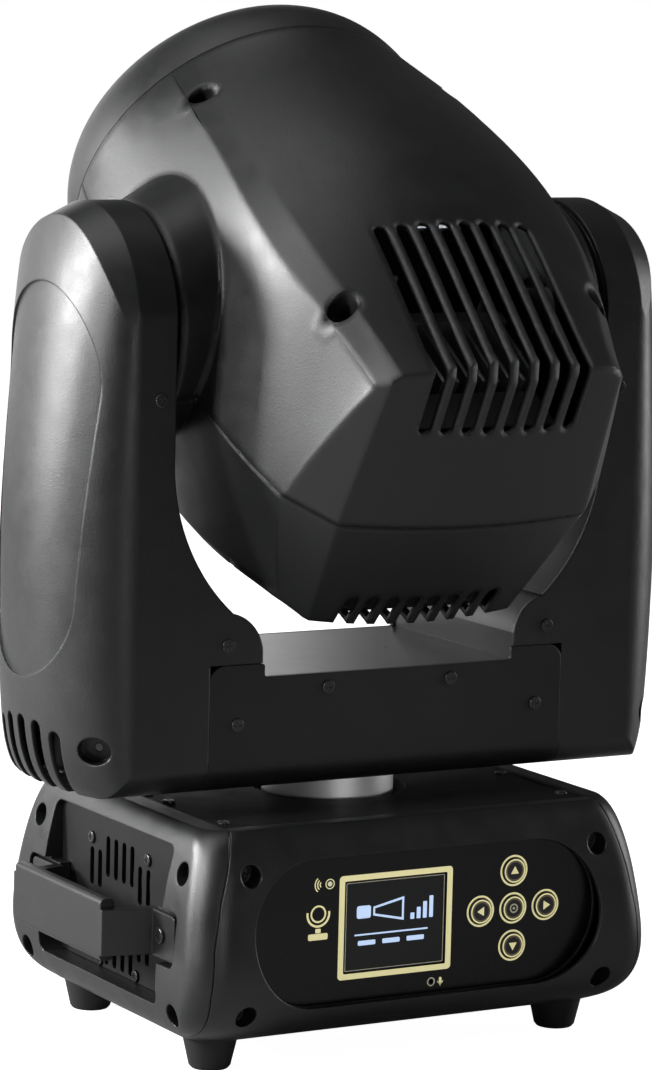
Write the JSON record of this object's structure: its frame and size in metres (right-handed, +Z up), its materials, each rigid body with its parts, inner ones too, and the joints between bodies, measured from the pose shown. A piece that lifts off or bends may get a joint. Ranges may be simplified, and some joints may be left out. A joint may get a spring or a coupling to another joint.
{
  "type": "moving head stage light",
  "caption": "Moving head stage light: a base with display and keys, a panning two-arm yoke and a tilting lamp head with a round front lens.",
  "frame": {"origin": "on the floor under the pan axis, in the plane of the feet", "axes": "+Z up along the pan axis, +X to the right seen from the display side, -Y out of the display side; the tilt axis runs along X and the lamp head leans toward +Y at rest"},
  "size_m": [0.3558, 0.3391, 0.5204],
  "materials": {
    "case_plastic": "fine textured moulded",
    "arm_plastic": "fine textured moulded",
    "head_plastic": "fine textured moulded",
    "bezel_plastic": "fine textured moulded",
    "handle_plastic": "satin",
    "plate_paint": "powder coated",
    "crossbar_paint": "powder coated",
    "frame_paint": "satin",
    "panel_gloss": "semi gloss",
    "screen_glass": "gloss",
    "key_plastic": "satin",
    "circuit_board": "satin",
    "screw_black": "black oxide",
    "rubber_black": "matte",
    "belt_rubber": "matte",
    "shaft_steel": "turned",
    "bearing_steel": "ground",
    "pulley_metal": "turned",
    "motor_steel": "satin",
    "supply_case": "brushed",
    "connector_plastic": "satin",
    "heat_sink_metal": "extruded",
    "led_board": "satin",
    "fan_plastic": "satin",
    "wheel_metal": "satin",
    "carriage_metal": "satin",
    "lens_glass": "polished"
  },
  "bodies": {
    "base": {"base_plate": "plate_paint", "base_top_plate": "plate_paint", "front_cover": "case_plastic", "rear_cover": "case_plastic", "side_cap_left": "case_plastic", "side_cap_right": "case_plastic", "vent_plate_left": "plate_paint", "vent_plate_right": "plate_paint", "carry_handle_left": "handle_plastic", "carry_handle_right": "handle_plastic", "handle_screws": "screw_black", "case_screws": "screw_black", "vent_plate_screws": "screw_black", "top_plate_screws": "screw_black", "rubber_feet": "rubber_black", "control_panel": "panel_gloss", "display_module": "screen_glass", "control_board": "circuit_board", "connector_plate": "plate_paint", "power_inlet": "connector_plastic", "data_sockets": "connector_plastic", "power_supply": "supply_case", "pan_motor": "motor_steel", "pan_belt": "belt_rubber", "pan_bearing": "bearing_steel"},
    "yoke": {"yoke_frame": "frame_paint", "crossbar_front_cover": "crossbar_paint", "crossbar_rear_cover": "crossbar_paint", "arm_cover_left": "arm_plastic", "arm_cover_right": "arm_plastic", "yoke_screws": "screw_black", "pan_shaft": "shaft_steel", "pan_pulley": "pulley_metal", "tilt_bearings": "bearing_steel", "tilt_motor": "motor_steel", "tilt_belt": "belt_rubber"},
    "head": {"upper_shell": "head_plastic", "lower_shell": "head_plastic", "front_bezel": "bezel_plastic", "front_lens": "lens_glass", "head_chassis": "frame_paint", "trunnions": "shaft_steel", "tilt_pulley": "pulley_metal", "heat_sink": "heat_sink_metal", "led_module": "led_board", "fan_housing": "fan_plastic", "stepper_motors": "motor_steel", "focus_rods": "shaft_steel", "head_screws": "screw_black"},
    "fan_rotor_body": {"fan_rotor": "fan_plastic"},
    "colour_wheel_body": {"colour_wheel": "wheel_metal"},
    "gobo_wheel_body": {"gobo_wheel": "wheel_metal"},
    "focus_carriage_body": {"focus_carriage": "carriage_metal"},
    "pan_motor_pulley_body": {"pan_motor_pulley": "pulley_metal"},
    "tilt_motor_pulley_body": {"tilt_motor_pulley": "pulley_metal"},
    "key_centre_body": {"key_centre": "key_plastic"},
    "key_up_body": {"key_up": "key_plastic"},
    "key_down_body": {"key_down": "key_plastic"},
    "key_left_body": {"key_left": "key_plastic"},
    "key_right_body": {"key_right": "key_plastic"}
  },
  "joints": [
    {"name": "pan", "type": "hinge", "parent": "base", "child": "yoke", "pos_m": [0, 0, 0.13], "axis": [0, 0, 1], "range_deg": [-270, 270]},
    {"name": "tilt", "type": "hinge", "parent": "yoke", "child": "head", "pos_m": [0, 0, 0.363], "axis": [1, 0, 0], "range_deg": [-80, 190]},
    {"name": "pan_motor_spin", "type": "hinge", "parent": "base", "child": "pan_motor_pulley_body", "pos_m": [-0.084, 0, 0.093], "axis": [0, 0, 1], "range_deg": [-1350, 1350]},
    {"name": "tilt_motor_spin", "type": "hinge", "parent": "yoke", "child": "tilt_motor_pulley_body", "pos_m": [-0.15, 0, 0.187], "axis": [1, 0, 0], "range_deg": [-290, 688.75]},
    {"name": "fan_spin", "type": "hinge", "parent": "head", "child": "fan_rotor_body", "pos_m": [0, -0.10239, 0.2913], "axis": [0, 0.8192, 0.5736], "continuous": true},
    {"name": "colour_wheel_spin", "type": "hinge", "parent": "head", "child": "colour_wheel_body", "pos_m": [0, 0.00722, 0.31434], "axis": [0, 0.8192, 0.5736], "continuous": true},
    {"name": "gobo_wheel_spin", "type": "hinge", "parent": "head", "child": "gobo_wheel_body", "pos_m": [0, 0.01377, 0.31893], "axis": [0, 0.8192, 0.5736], "continuous": true},
    {"name": "focus_slide", "type": "slide", "parent": "head", "child": "focus_carriage_body", "axis": [0, 0.8192, 0.5736], "range_m": [-0.011, 0.028]},
    {"name": "key_centre_press", "type": "slide", "parent": "base", "child": "key_centre_body", "axis": [0, 1, 0], "range_m": [0, 0.0008], "stiffness_N_per_m": 300},
    {"name": "key_up_press", "type": "slide", "parent": "base", "child": "key_up_body", "axis": [0, 1, 0], "range_m": [0, 0.0008], "stiffness_N_per_m": 300},
    {"name": "key_down_press", "type": "slide", "parent": "base", "child": "key_down_body", "axis": [0, 1, 0], "range_m": [0, 0.0008], "stiffness_N_per_m": 300},
    {"name": "key_left_press", "type": "slide", "parent": "base", "child": "key_left_body", "axis": [0, 1, 0], "range_m": [0, 0.0008], "stiffness_N_per_m": 300},
    {"name": "key_right_press", "type": "slide", "parent": "base", "child": "key_right_body", "axis": [0, 1, 0], "range_m": [0, 0.0008], "stiffness_N_per_m": 300}
  ],
  "couplings": [
    {"joint": "pan_motor_spin", "follows": "pan", "ratio": 5},
    {"joint": "tilt_motor_spin", "follows": "tilt", "ratio": 3.625}
  ]
}
